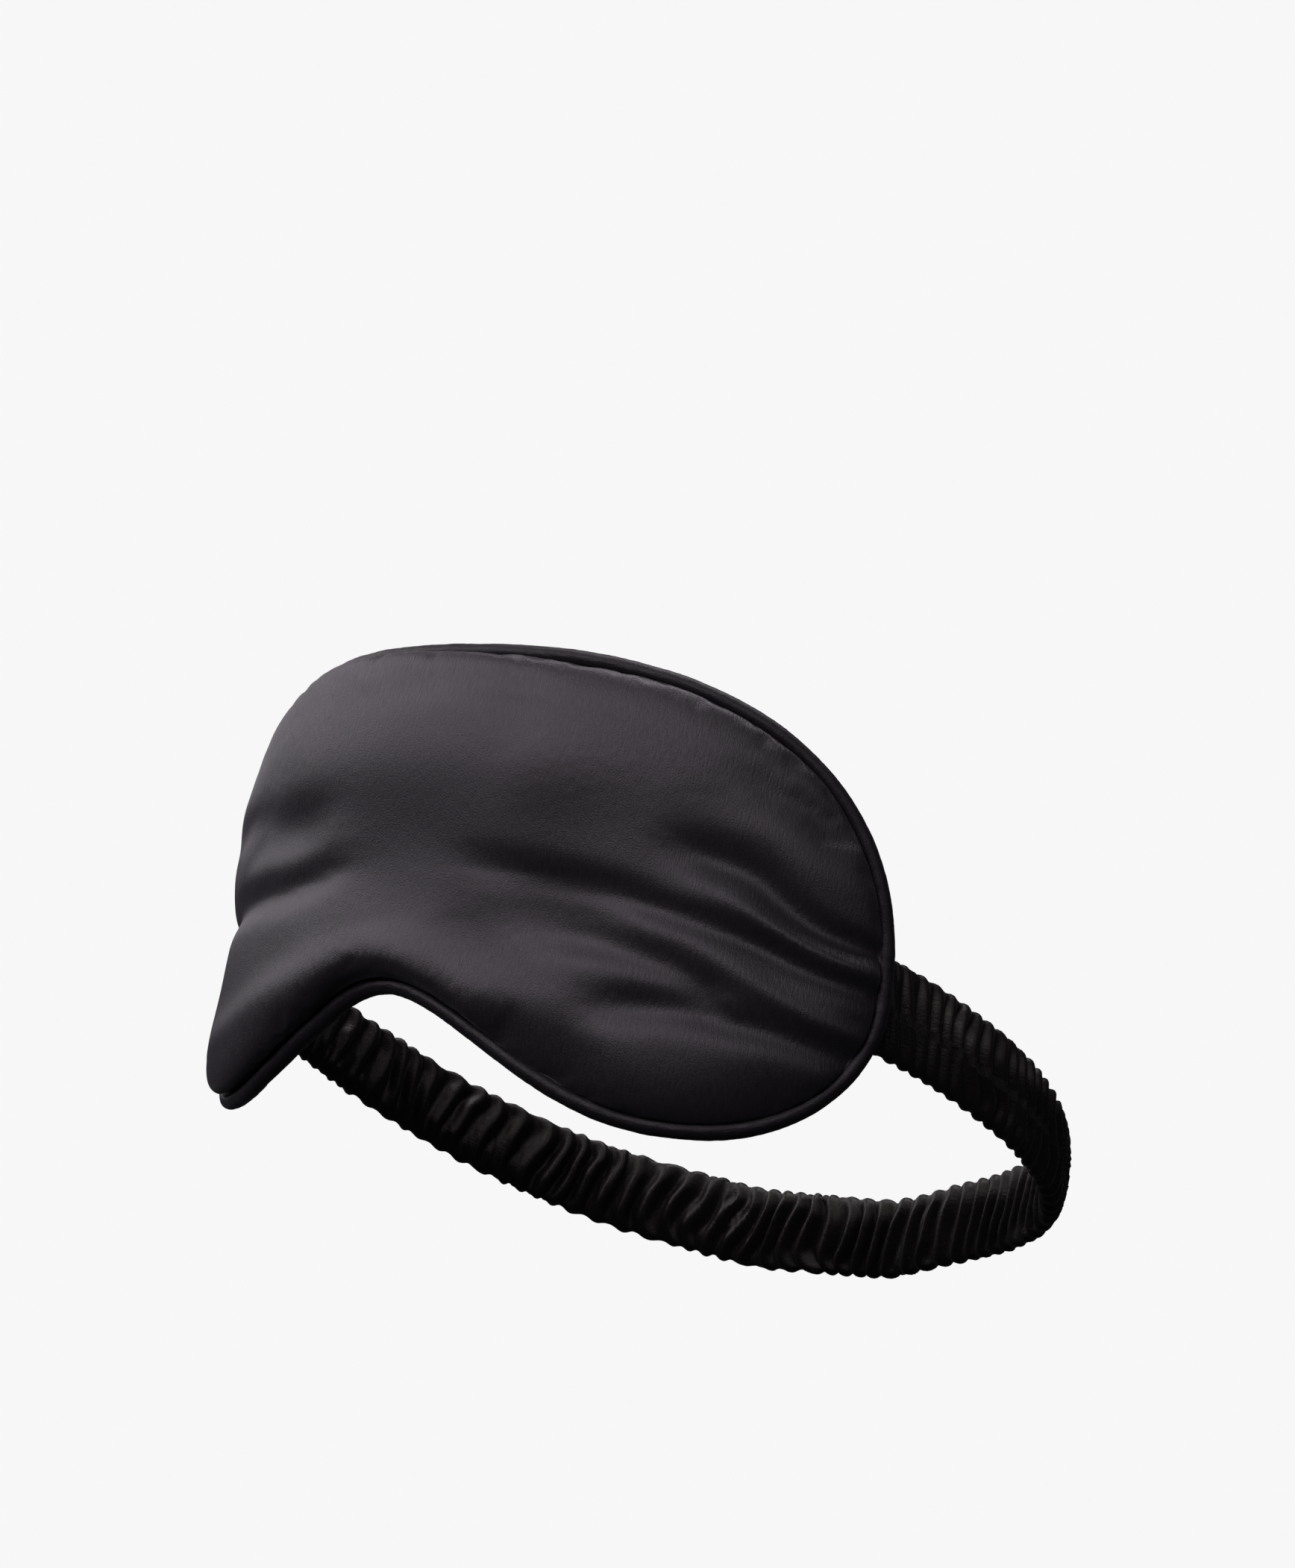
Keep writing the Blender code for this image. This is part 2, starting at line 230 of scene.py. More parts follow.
def plan(u):
    """Where the middle layer is in plan at u along the bend, and its heading there."""
    along = np.linspace(0, 1.05 * HALF_WIDTH, BEND_STEPS)
    heading = BEND * along - BEND_EASING * along**3
    step = along[1]
    x = np.concatenate([[0], np.cumsum(np.cos(heading[:-1]) + np.cos(heading[1:])) * step / 2])
    y = np.concatenate([[0], np.cumsum(np.sin(heading[:-1]) + np.sin(heading[1:])) * step / 2])
    far = np.abs(u)
    side = np.sign(u)
    x, y, heading = (np.interp(far, along, each) for each in (x, y, heading))
    return side * x, y + MIDDLE_LAYER_AT, side * heading


def wrap(u, v, offset):
    """Points of the pattern, bent round the face and moved off the middle layer, front side positive."""
    x, y, heading = plan(u)
    return np.column_stack([x + offset * np.sin(heading), y - offset * np.cos(heading), v + 0 * offset])


def smooth_line(points, count=60):
    """A smooth curve through a few points."""
    points = np.array(points, float)
    run = distances(points)
    at = np.linspace(0, run[-1], count)
    slope = np.gradient(points, run, axis=0)
    i = np.clip(np.searchsorted(run, at, side="right") - 1, 0, len(run) - 2)
    gap = (run[i + 1] - run[i])[:, None]
    t = (at - run[i])[:, None] / gap
    a, b, c, d = points[i], points[i + 1], slope[i] * gap, slope[i + 1] * gap
    return (2 * t**3 - 3 * t**2 + 1) * a + (t**3 - 2 * t**2 + t) * c + (3 * t**2 - 2 * t**3) * b + (t**3 - t**2) * d


def ease(share):
    share = np.clip(share, 0, 1)
    return share * share * (3 - 2 * share)


class Fold:
    """A ridge or a valley along a smooth line in the pattern. All its sizes are in millimetres."""

    def __init__(self, height, width, points, fade=(0.3, 0.3), end_width=None):
        self.height, self.width, self.fade = height, width, fade
        self.end_width = end_width or width
        self.line = smooth_line(points)

    def rise(self, u, v):
        gap = np.hypot(u[:, None] / MM - self.line[:, 0], v[:, None] / MM - self.line[:, 1])
        nearest = gap.argmin(axis=1)
        along = nearest / (len(self.line) - 1)
        width = self.width + (self.end_width - self.width) * along
        strength = np.ones(len(u))
        for share, length in ((along, self.fade[0]), (1 - along, self.fade[1])):
            if length:
                strength *= ease(share / length)
        return self.height * MM * strength * np.exp(-((gap.min(axis=1) / width) ** 2))


# The front's folds fan out from both ends of the band, where it pulls at the side seams.
FRONT_FOLDS = (
    # the whole shape: the pull at the far side, the swell above the middle and the one over the lobes
    Fold(-4.2, 11.5, ((-110, -11), (-98, -11), (-86, -9), (-70, -4)), (0.0, 0.6)),
    Fold(-0.6, 8.0, ((-98, -3), (-60, -1), (-20, 1), (16, 1)), (0.2, 0.4)),
    Fold(1.3, 12.0, ((-66, 28), (-20, 30), (20, 29), (62, 27)), (0.3, 0.3)),
    Fold(1.3, 5.5, ((-80, -33), (-56, -29), (-30, -21.5), (-12, -16.5), (2, -15), (16, -17.5), (32, -24.5),
         (48, -30)), (0.1, 0.3)),
    Fold(-1.2, 7.0, ((34, -35), (50, -42), (66, -45), (84, -40), (99, -28)), (0.3, 0.2)),
    Fold(-1.7, 7.0, ((22, -25), (34, -30.5), (46, -35), (58, -37.5)), (0.3, 0.4)),
    Fold(1.0, 7.0, ((-106, 16), (-92, 18), (-74, 22), (-50, 26)), (0.0, 0.5)),
    Fold(0.8, 11.0, ((20, 29), (45, 28), (72, 26)), (0.3, 0.3)),
    Fold(-1.7, 13.0, ((4, -4), (30, -7), (56, -10)), (0.4, 0.4)),
    # the far half
    Fold(-1.1, 5.0, ((-70, 10.5), (-56, 12.2), (-42, 12), (-28, 12.5), (-14, 13)), (0.25, 0.35)),
    Fold(-1.9, 4.0, ((-108, -7), (-92, -5), (-78, -2), (-66, -0.5), (-50, 0.5), (-37, 1), (-28, 2.5),
         (-20, 4), (0, 7)), (0.0, 0.3)),
    Fold(-1.0, 4.6, ((-106, 12), (-84, 17), (-60, 19), (-42, 17), (-24, 18), (-8, 19)), (0.1, 0.3)),
    Fold(-0.5, 2.4, ((-10, 45), (12, 45), (36, 43)), (0.3, 0.3)),
    # the near half, from the top down
    Fold(-1.1, 3.6, ((66, 34), (80, 28), (90, 23.5), (100, 18)), (0.4, 0.2)),
    Fold(0.4, 3.4, ((62, 23), (73, 20), (80, 18.5), (86, 15), (91, 12.5), (97, 10.5), (108, 9)), (0.4, 0.1)),
    Fold(-2.1, 4.8, ((54, 15.8), (62, 14), (70, 12.4), (79, 9.6), (84, 6.2), (89, 3), (99, -0.8), (108, -2)),
         (0.3, 0.0), 2.0),
    Fold(1.6, 3.2, ((62, 8.5), (74, 4), (84, -0.8), (93, -4.4), (99, -5.8), (108, -6.8)), (0.6, 0.0), 1.8),
    Fold(-1.7, 4.0, ((6, 8), (26, 5.8), (40, 4.2), (52, 2.8), (60, 0.8), (68, -1), (77, -3), (90, -7),
         (108, -11)), (0.3, 0.0), 2.2),
    Fold(1.0, 2.8, ((64, -6), (76, -10), (86, -14.5), (95, -18), (108, -20)), (0.4, 0.0), 1.8),
    Fold(-1.3, 4.4, ((20, 0), (34, -1), (48, -2.4), (62, -4.6)), (0.4, 0.4)),
    Fold(-1.6, 3.6, ((22, -5), (38, -6.5), (50, -7.8), (60, -9.8), (66, -11.5), (72, -14.8), (78, -20)),
         (0.45, 0.15)),
    Fold(-1.8, 4.5, ((41, -21), (50, -21), (58, -20), (67, -19.5), (76, -20.5), (86, -21.5), (96, -23),
         (108, -24)), (0.28, 0.0), 2.4),
)

# The eye side is on the inside of the bend, so its folds run upwards.
BACK_FOLDS = (
    Fold(-1.0, 4.5, ((-6, -14), (-9, 4), (-5, 24)), (0.2, 0.5)),
    Fold(-1.2, 5.0, ((-38, -30), (-33, -6), (-38, 20)), (0.3, 0.5)),
    Fold(-0.9, 4.0, ((22, -26), (27, -4), (22, 26)), (0.3, 0.5)),
    Fold(-1.1, 5.0, ((52, -34), (48, -8), (54, 22)), (0.3, 0.5)),
    Fold(-0.8, 4.0, ((-66, -30), (-62, -4), (-68, 24)), (0.3, 0.5)),
    Fold(-0.9, 3.2, ((104, -8), (88, -5), (72, 4)), (0.0, 0.6)),
    Fold(-0.8, 3.0, ((104, -17), (90, -18), (76, -22)), (0.0, 0.6)),
    Fold(-0.9, 3.2, ((-104, -8), (-88, -6), (-73, 2)), (0.0, 0.6)),
    Fold(-0.8, 3.0, ((-104, -17), (-90, -19), (-76, -24)), (0.0, 0.6)),
)

FOLD_FROM_SEAM = 0.0018
RIPPLE_HEIGHT = 0.00022
RIPPLE_SPACING = 0.016
CROWN_FULLNESS = 2.3
BULGE_WIDTH = 0.009
PAD_FROM_SEAM = 0.0056
LEAST_PADDING = 0.0015
SETTLING = 0.0008


def swell(u, v, distance, crown):
    """The height above the seam: steep at first and then level, and steeper over the nose and the far lobe."""
    tight = ease((0.045 - u) / 0.03) * ease((0.01 - v) / 0.02)
    share = np.clip(distance / (sizes().crown_width * (1 - 0.62 * tight)), 0, 1)
    return crown * (1 - (1 - share) ** CROWN_FULLNESS) ** (1 / CROWN_FULLNESS)


def from_seam(u, v, inset):
    """Each point's distance from the seam, and the way straight out over it."""
    edge = outline(900)
    normal = outward(edge)
    edge = edge - inset * normal
    distance, way = [], []
    for i in range(0, len(u), 500):
        gap = np.hypot(edge[:, 0] - u[i : i + 500, None], edge[:, 1] - v[i : i + 500, None])
        distance.append(gap.min(axis=1))
        way.append(normal[gap.argmin(axis=1)])
    return np.concatenate(distance), np.vstack(way)


def overhang(u, v):
    """How far the filled cloth bulges out over its seam: most at the top of the far side."""
    mask = sizes()
    upper = ease((v - 0.012) / 0.022) * ease((0.045 - u) / 0.06)
    return mask.bulge + (mask.top_bulge - mask.bulge) * upper


def surface(u, v, crown, folds, inset):
    """Where pattern points end up: (u, v, height off the middle layer)."""
    distance, way = from_seam(u, v, inset)
    rise = sum(fold.rise(u, v) for fold in folds) * ease(0.25 + distance / FOLD_FROM_SEAM)
    ripple = [noise.noise(Vector((a / RIPPLE_SPACING, b / RIPPLE_SPACING, crown / MM))) for a, b in zip(u, v)]
    uneven = RIPPLE_HEIGHT * np.array(ripple) * ease(distance / 0.01)
    near = np.sqrt(np.clip(distance / BULGE_WIDTH, 0, 1))
    out = (overhang(u, v) * np.sin(math.pi * near))[:, None] * way * (crown / sizes().front_crown)
    # the folds ease off before they would press the cloth into the wadding
    inside = ease(distance / PAD_FROM_SEAM)
    floor = sizes().seam_height + LEAST_PADDING * inside
    clear = sizes().seam_height + swell(u, v, distance, crown) + rise + uneven - floor
    height = floor + (clear + np.sqrt(clear**2 + (SETTLING * inside) ** 2)) / 2
    return u + out[:, 0], v + out[:, 1], height


# ---------------------------------------------------------------- shader maths


class Wire:
    """A number, colour or vector in a material's nodes, which can be used in sums."""

    def __init__(self, tree, socket):
        self.tree, self.socket = tree, socket

    def math(self, operation, *values):
        node = self.tree.nodes.new("ShaderNodeMath")
        node.operation = operation
        for socket, value in zip(node.inputs, values):
            feed(self.tree, socket, value)
        return Wire(self.tree, node.outputs[0])

    def __add__(self, other):
        return self.math("ADD", self, other)

    def __radd__(self, other):
        return self.math("ADD", other, self)

    def __sub__(self, other):
        return self.math("SUBTRACT", self, other)

    def __rsub__(self, other):
        return self.math("SUBTRACT", other, self)

    def __mul__(self, other):
        return self.math("MULTIPLY", self, other)

    def __rmul__(self, other):
        return self.math("MULTIPLY", other, self)


def feed(tree, socket, value):
    """Links a wire to a socket, or sets the socket to a plain value."""
    if isinstance(value, Wire):
        tree.links.new(value.socket, socket)
    else:
        socket.default_value = value


class Finish:
    """A material with one Principled shader, and a short way to add nodes to it."""

    def __init__(self, name, colour, **constants):
        self.material = bpy.data.materials.new(name)
        self.material.use_nodes = True
        self.material.diffuse_color = (*colour, 1)
        self.tree = self.material.node_tree
        self.shader = self.tree.nodes["Principled BSDF"]
        self.shader.inputs["Base Color"].default_value = (*colour, 1)
        for socket, value in constants.items():
            self.shader.inputs[socket.replace("_", " ")].default_value = value

    def node(self, kind, settings=None, output=0, **inputs):
        """Adds a node, sets it up, feeds its sockets and returns one of its outputs."""
        made = self.tree.nodes.new("ShaderNode" + kind)
        for setting, value in (settings or {}).items():
            setattr(made, setting, value)
        for socket, value in inputs.items():
            feed(self.tree, made.inputs[socket.replace("_", " ")], value)
        return Wire(self.tree, made.outputs[output])

    def cloth_place(self, across, along):
        """The cloth's own coordinates, in metres, times two scales."""
        place = self.node("UVMap", {"uv_map": "Cloth"})
        return self.node("Mapping", Vector=place, Scale=(across, along, 1))

    def ribs(self, direction, scale):
        """Even ribs across or along the cloth."""
        return self.node("TexWave", {"bands_direction": direction}, 1, Vector=self.cloth_place(1, 1), Scale=scale)

    def set(self, **inputs):
        for socket, value in inputs.items():
            feed(self.tree, self.shader.inputs[socket.replace("_", " ")], value)

    def mottle(self, amount, low, high):
        """Varies the colour between two shades of itself."""
        colour = self.material.diffuse_color[:3]
        low, high = ((*[c * share for c in colour], 1) for share in (low, high))
        self.set(Base_Color=self.node("Mix", {"data_type": "RGBA"}, 2, Factor=amount, A=low, B=high))

    def bump(self, height, distance, strength=1.0):
        self.set(Normal=self.node("Bump", Height=height, Distance=distance, Strength=strength))


def satin_finish(name, grain=1.0, depth=1.0, matt=0.41, warmth=0.0):
    """Black silk satin: a soft sheen broken up by the fine streaks of its floating threads.

    grain is how deep the streaks are, depth darkens the colour and lowers the sheen and the reflection (the piping's
    darker copy is painted shade), matt its roughness, and warmth turns the black from violet to brown.
    """
    # depth below 1 darkens the satin's colour; the piping's copy is darkened this way as painted shade
    colour = tuple(depth * c * (1 - k * warmth) for c, k in zip(colours().satin, (0, 0.1, 1)))
    finish = Finish(name, colour, Roughness=0.45, Sheen_Weight=0.06 * depth, Sheen_Roughness=0.4, IOR=1.5)
    finish.shader.inputs["Specular IOR Level"].default_value = 0.5 * depth
    finish.shader.inputs["Sheen Tint"].default_value = (0.86, 0.80, 0.92, 1)
    finish.shader.inputs["Specular Tint"].default_value = (1.0, 0.94 + 0.02 * warmth, 1.0 - warmth / 2, 1)
    streaks = finish.node("TexNoise", Vector=finish.cloth_place(2100, 420), Scale=1.0, Detail=3.0)
    specks = finish.node("TexNoise", Vector=finish.cloth_place(3600, 3000), Scale=1.0, Detail=2.0)
    patches = finish.node("TexNoise", Vector=finish.cloth_place(55, 55), Scale=1.0, Detail=2.0)
    height = streaks * 0.55 + specks * 0.45
    finish.bump(height, 0.00028 * grain, 0.65)
    finish.set(Roughness=matt + (height - 0.5) * 0.5 + (patches - 0.5) * 0.05)
    finish.mottle(height, 0.55, 1.5)
    return finish.material


def wadding_finish(name):
    finish = Finish(name, tuple(colours().wadding), Roughness=0.95, Sheen_Weight=0.3)
    place = finish.node("TexCoord", output=3)
    fibres = finish.node("TexNoise", Vector=place, Scale=900.0, Detail=5.0, Distortion=2.5)
    tufts = finish.node("TexNoise", Vector=place, Scale=140.0, Detail=3.0)
    height = fibres * 0.4 + tufts * 0.6
    finish.bump(height, 0.0006)
    finish.mottle(height, 0.8, 1.12)
    return finish.material


def lining_finish(name):
    finish = Finish(name, tuple(colours().lining), Roughness=0.9)
    height = finish.ribs("X", 900.0) * finish.ribs("Y", 900.0)
    finish.bump(height, 0.00008)
    finish.set(Roughness=0.82 + 0.14 * height)
    return finish.material


def cord_finish(name):
    finish = Finish(name, tuple(colours().cord), Roughness=0.95)
    fuzz = finish.node("TexNoise", Vector=finish.node("TexCoord", output=3), Scale=2600.0, Detail=4.0)
    finish.bump(fuzz, 0.0001)
    finish.mottle(fuzz, 0.75, 1.15)
    return finish.material


def elastic_finish(name):
    finish = Finish(name, tuple(colours().elastic), Roughness=0.75)
    height = finish.ribs("X", 190.0) * 0.65 + finish.ribs("Y", 420.0) * 0.35
    finish.bump(height, 0.0002)
    finish.set(Roughness=0.62 + 0.25 * height)
    return finish.material


def thread_finish(name):
    finish = Finish(name, tuple(colours().thread), Roughness=0.5)
    place = finish.node("TexCoord", output=3)
    twist = finish.node("TexWave", {"bands_direction": "DIAGONAL"}, 1, Vector=place, Scale=900.0, Distortion=1.0)
    finish.bump(twist, 0.00004)
    finish.set(Roughness=0.42 + 0.2 * twist)
    return finish.material


def stocked(name, maker, **look):
    """A material, made the first time it is asked for."""
    return bpy.data.materials.get(name) or maker(name, **look)


# ---------------------------------------------------------------- mesh helpers


def deselect():
    bpy.ops.object.select_all(action="DESELECT")


def choose(piece):
    deselect()
    piece.select_set(True)
    bpy.context.view_layer.objects.active = piece


def from_mesh(name, points, faces, cloth=None):
    """An object of these points and faces. cloth gives each point's place on the cloth, in metres."""
    mesh = bpy.data.meshes.new(name)
    mesh.from_pydata([tuple(map(float, p)) for p in points], [], [tuple(map(int, f)) for f in faces])
    if cloth is not None:
        layer = mesh.uv_layers.new(name="Cloth")
        corners = np.zeros(len(mesh.loops), np.int32)
        mesh.loops.foreach_get("vertex_index", corners)
        layer.data.foreach_set("uv", np.asarray(cloth, np.float32)[corners].ravel())
    mesh.validate()
    piece = bpy.data.objects.new(name, mesh)
    bpy.context.scene.collection.objects.link(piece)
    choose(piece)
    return piece


def apply(piece, kind, **settings):
    """Adds a modifier, sets it up and applies it."""
    choose(piece)
    bpy.ops.object.modifier_add(type=kind)
    modifier = piece.modifiers[-1]
    for setting, value in settings.items():
        setattr(modifier, setting, value)
    bpy.ops.object.modifier_apply(modifier=modifier.name)


def tidy_up(piece, material, angle=60):
    """Smooth shading, outward faces and a material."""
    choose(piece)
    bpy.ops.object.mode_set(mode="EDIT")
    bpy.ops.mesh.select_all(action="SELECT")
    bpy.ops.mesh.normals_make_consistent(inside=False)
    bpy.ops.object.mode_set(mode="OBJECT")
    bpy.ops.object.shade_smooth_by_angle(angle=math.radians(angle))
    piece.data.materials.clear()
    piece.data.materials.append(material)
    deselect()


def sweep(name, rings, closed_run, cloth, capped=True):
    """A skin over rings of points. cloth gives (around, along) for every point."""
    count, around = len(rings), len(rings[0])
    points = np.vstack(rings)
    faces = []
    for i in range(count if closed_run else count - 1):
        a, b = i * around, (i + 1) % count * around
        for j in range(around):
            k = (j + 1) % around
            faces.append((a + j, a + k, b + k, b + j))
    if not closed_run and capped:
        faces.append(tuple(range(around))[::-1])
        faces.append(tuple((count - 1) * around + j for j in range(around)))
    return from_mesh(name, points, faces, cloth)


# ---------------------------------------------------------------- padded cloth


# Millimetres from the panel's edge to the rows of points that run beside it
EDGE_LOOPS = (0.0, 0.3, 0.8, 1.5, 2.5, 3.8)
# The cloth simulation runs for a few frames on a larger copy, and moves no point further than FILLING_MOVES
FILLING_STEPS = 18
FILLING_SCALE = 10
FILLING_MOVES = 0.0006
PANEL_INSET = 0.0019
PAD_INSET = PANEL_INSET + PAD_FROM_SEAM
PAD_BELOW_CLOTH = 0.0016
LINER_HALF = 0.0002
PAD_CLEAR = 0.0005
THINNEST_PAD = 0.0004


def lattice(inset, spacing):
    """Points and triangles over the pattern, cut smaller by inset. The edge's points come first."""
    edge = outline(900)
    length = np.linalg.norm(edge - np.roll(edge, 1, axis=0), axis=1).sum()
    edge = outline(round(length / spacing))
    normal = outward(edge)
    loops = [edge - (inset + loop * MM) * normal for loop in EDGE_LOOPS]
    rows = np.arange(-0.06, 0.06, spacing * math.sqrt(3) / 2)
    columns = np.arange(-HALF_WIDTH, HALF_WIDTH, spacing)
    u = np.concatenate([columns + (spacing / 2 if i % 2 else 0) for i in range(len(rows))])
    v = np.repeat(rows, len(columns))
    inside = (v < upper_edge(u)) & (v > lower_edge(u)) & (np.abs(u) < HALF_WIDTH)
    u, v = u[inside], v[inside]
    clear = from_seam(u, v, 0.0)[0] > inset + EDGE_LOOPS[-1] * MM + 0.7 * spacing
    points = np.vstack([*loops, np.column_stack([u[clear], v[clear]])])
    found = delaunay_2d_cdt([Vector(p) for p in points], [], [list(range(len(edge)))], 1, 1e-7)
    return np.array([tuple(p) for p in found[0]]), found[2], len(edge)


def fill_out(piece, edge_count):
    """Lets the filling press the cloth out, with its edge held, and caps how far any point moves."""
    scale = FILLING_SCALE
    rest = np.array([v.co for v in piece.data.vertices])
    choose(piece)
    piece.data.transform(((scale, 0, 0, 0), (0, scale, 0, 0), (0, 0, scale, 0), (0, 0, 0, 1)))
    held = piece.vertex_groups.new(name="seam")
    held.add(list(range(edge_count)), 1.0, "REPLACE")
    bpy.ops.object.modifier_add(type="CLOTH")
    cloth = piece.modifiers[-1]
    cloth.settings.vertex_group_mass = held.name
    cloth.settings.use_pressure = True
    cloth.settings.uniform_pressure_force = sizes().pressure
    cloth.settings.effector_weights.gravity = 0
    cloth.settings.quality = 5
    cloth.settings.mass = 0.05
    cloth.settings.tension_stiffness = 20
    cloth.settings.compression_stiffness = 20
    cloth.settings.shear_stiffness = 6
    cloth.settings.bending_stiffness = 1.5
    cloth.settings.shrink_min = -0.012
    cloth.collision_settings.use_collision = False
    cloth.point_cache.frame_start = 1
    cloth.point_cache.frame_end = FILLING_STEPS
    for step in range(1, FILLING_STEPS + 1):
        bpy.context.scene.frame_set(step)
    bpy.ops.object.modifier_apply(modifier=cloth.name)
    bpy.context.scene.frame_set(1)
    piece.vertex_groups.clear()
    moved = np.array([v.co for v in piece.data.vertices]) / scale - rest
    far = np.linalg.norm(moved, axis=1)
    moved *= (FILLING_MOVES * np.tanh(far / FILLING_MOVES) / np.maximum(far, 1e-9))[:, None]
    piece.data.vertices.foreach_set("co", (rest + moved).astype(np.float32).ravel())
    piece.data.update()


def cloth_panel(name, side, crown, folds, material):
    """A satin panel over its filling: side is 1 at the front and -1 at the eyes."""
    flat, faces, edge_count = lattice(PANEL_INSET, sizes().spacing)
    u, v, height = surface(flat[:, 0], flat[:, 1], crown, folds, PANEL_INSET)
    points = wrap(u, v, side * height)
    faces = [f if side > 0 else f[::-1] for f in faces]
    piece = from_mesh(name, points, faces, flat)
    fill_out(piece, edge_count)
    apply(piece, "SUBSURF", levels=1, render_levels=1)
    apply(piece, "SOLIDIFY", thickness=sizes().cloth, offset=-1.0)
    tidy_up(piece, material)
    return piece


def filling(name, side, crown, folds, material):
    """Wadding under a panel, which follows the panel's inside and lies flat on the lining."""
    flat, faces, edge_count = lattice(PAD_INSET, 2 * sizes().spacing)
    u, v = flat[:, 0], flat[:, 1]
    inner = LINER_HALF + PAD_CLEAR
    outer = np.maximum(surface(u, v, crown, folds, PANEL_INSET)[2] - PAD_BELOW_CLOTH, inner + THINNEST_PAD)
    points = np.vstack([wrap(u, v, side * outer), wrap(u, v, np.full(len(u), side * inner))])
    below = [tuple(i + len(u) for i in f[::-1]) for f in faces]
    rim = [(i + len(u), (i + 1) % edge_count + len(u), (i + 1) % edge_count, i) for i in range(edge_count)]
    piece = from_mesh(name, points, [tuple(f) for f in faces] + below + rim, np.vstack([flat, flat]))
    tidy_up(piece, material)
    return piece


def piece_of(piece, body, node):
    """Says which body a piece rides on and which CAD node it stands for."""
    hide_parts(node)
    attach(piece, body)


class SLEEPMASK_OT_panels(Operator):
    """Sew the front and back satin panels and press them out over their filling"""

    bl_idname = "sleepmask.panels"
    bl_label = "Satin Panels"

    def execute(self, context):
        satin = stocked("black satin", satin_finish)
        front = cloth_panel("front_cloth", 1, sizes().front_crown, FRONT_FOLDS, satin)
        back = cloth_panel("back_cloth", -1, sizes().back_crown, BACK_FOLDS, satin)
        for piece, node, resting in ((front, "front_panel", "front_wadding"), (back, "back_panel", "back_wadding")):
            piece_of(piece, "mask", node)
        return {"FINISHED"}


class SLEEPMASK_OT_filling(Operator):
    """Lay the two layers of wadding and the blackout lining between them"""

    bl_idname = "sleepmask.filling"
    bl_label = "Filling and Lining"

    def execute(self, context):
        fleece = stocked("wadding", wadding_finish)
        front = filling("front_wadding", 1, sizes().front_crown, FRONT_FOLDS, fleece)
        back = filling("back_wadding", -1, sizes().back_crown, BACK_FOLDS, fleece)
        for piece, node in ((front, "front_filler"), (back, "back_filler")):
            piece_of(piece, "mask", node)
        flat, faces, _ = lattice(PAD_INSET, 2 * sizes().spacing)
        at = wrap(flat[:, 0], flat[:, 1], np.full(len(flat), LINER_HALF))
        liner = from_mesh("blackout_lining", at, faces, flat)
        apply(liner, "SOLIDIFY", thickness=2 * LINER_HALF, offset=-1.0)
        tidy_up(liner, stocked("blackout lining", lining_finish))
        piece_of(liner, "mask", "blackout_liner")
        return {"FINISHED"}


# ---------------------------------------------------------------- piping

STRIP_CLOTH = 0.0004
FLANGE_LENGTH = 0.005
FLANGE_SPLIT = 0.00015
SEAM_RUN = 0.55
# Uneven places round the strip: (how much, how many, which)
STRIP_SWELLS = ((0.05, 14, 3.1), (0.025, 60, 8.2))
STRIP_LEAN = (0.00022, 11, 5.7)
STRIP_WRINKLE = (0.00005, 150, 1.3)
STRIP_STATIONS = 900
CORD_STATIONS = 1400
CORD_CLEAR = 0.0003
CORD_TWISTS = 110
CORD_GROOVE = 0.14


def arc(radius, start, end, steps):
    turn = np.radians(np.linspace(start, end, steps + 1))
    return np.column_stack([radius * np.cos(turn), radius * np.sin(turn)])


def strip_section(radius):
    """The bias strip in section: round the cord, with two flanges that run into the seam."""
    inner = radius - STRIP_CLOTH
    half = FLANGE_SPLIT + STRIP_CLOTH
    far = -radius - FLANGE_LENGTH
    mouth_out = math.degrees(math.asin(half / radius))
    mouth_in = math.degrees(math.asin(FLANGE_SPLIT / inner))
    return np.vstack(
        [
            [(far, -half), (0.6 * far, -half)],
            arc(radius, mouth_out - 180, 180 - mouth_out, 22),
            [(0.6 * far, half), (far, half), (far, FLANGE_SPLIT), (0.6 * far, FLANGE_SPLIT)],
            arc(inner, 180 - mouth_in, mouth_in - 180, 14),
            [(0.6 * far, -FLANGE_SPLIT), (far, -FLANGE_SPLIT)],
        ]
    )


def ring_run(section_at, count):
    """Rings of points round the pattern's outline. section_at gives (outward, front) points by share."""
    loop = outline(count)
    normal = outward(loop)
    rings, cloth = [], []
    for i in range(count):
        section = section_at(i / count)
        u = loop[i, 0] + section[:, 0] * normal[i, 0]
        v = loop[i, 1] + section[:, 0] * normal[i, 1]
        rings.append(wrap(u, v, section[:, 1]))
        cloth.append(np.column_stack([distances(section), np.full(len(section), i / count * SEAM_RUN)]))
    return rings, np.vstack(cloth)


def circle_noise(share, amount, turns, seed):
    """Smooth noise that repeats after one way round."""
    angle = 2 * math.pi * share
    return amount * noise.noise(Vector((turns * math.cos(angle), turns * math.sin(angle), seed)))


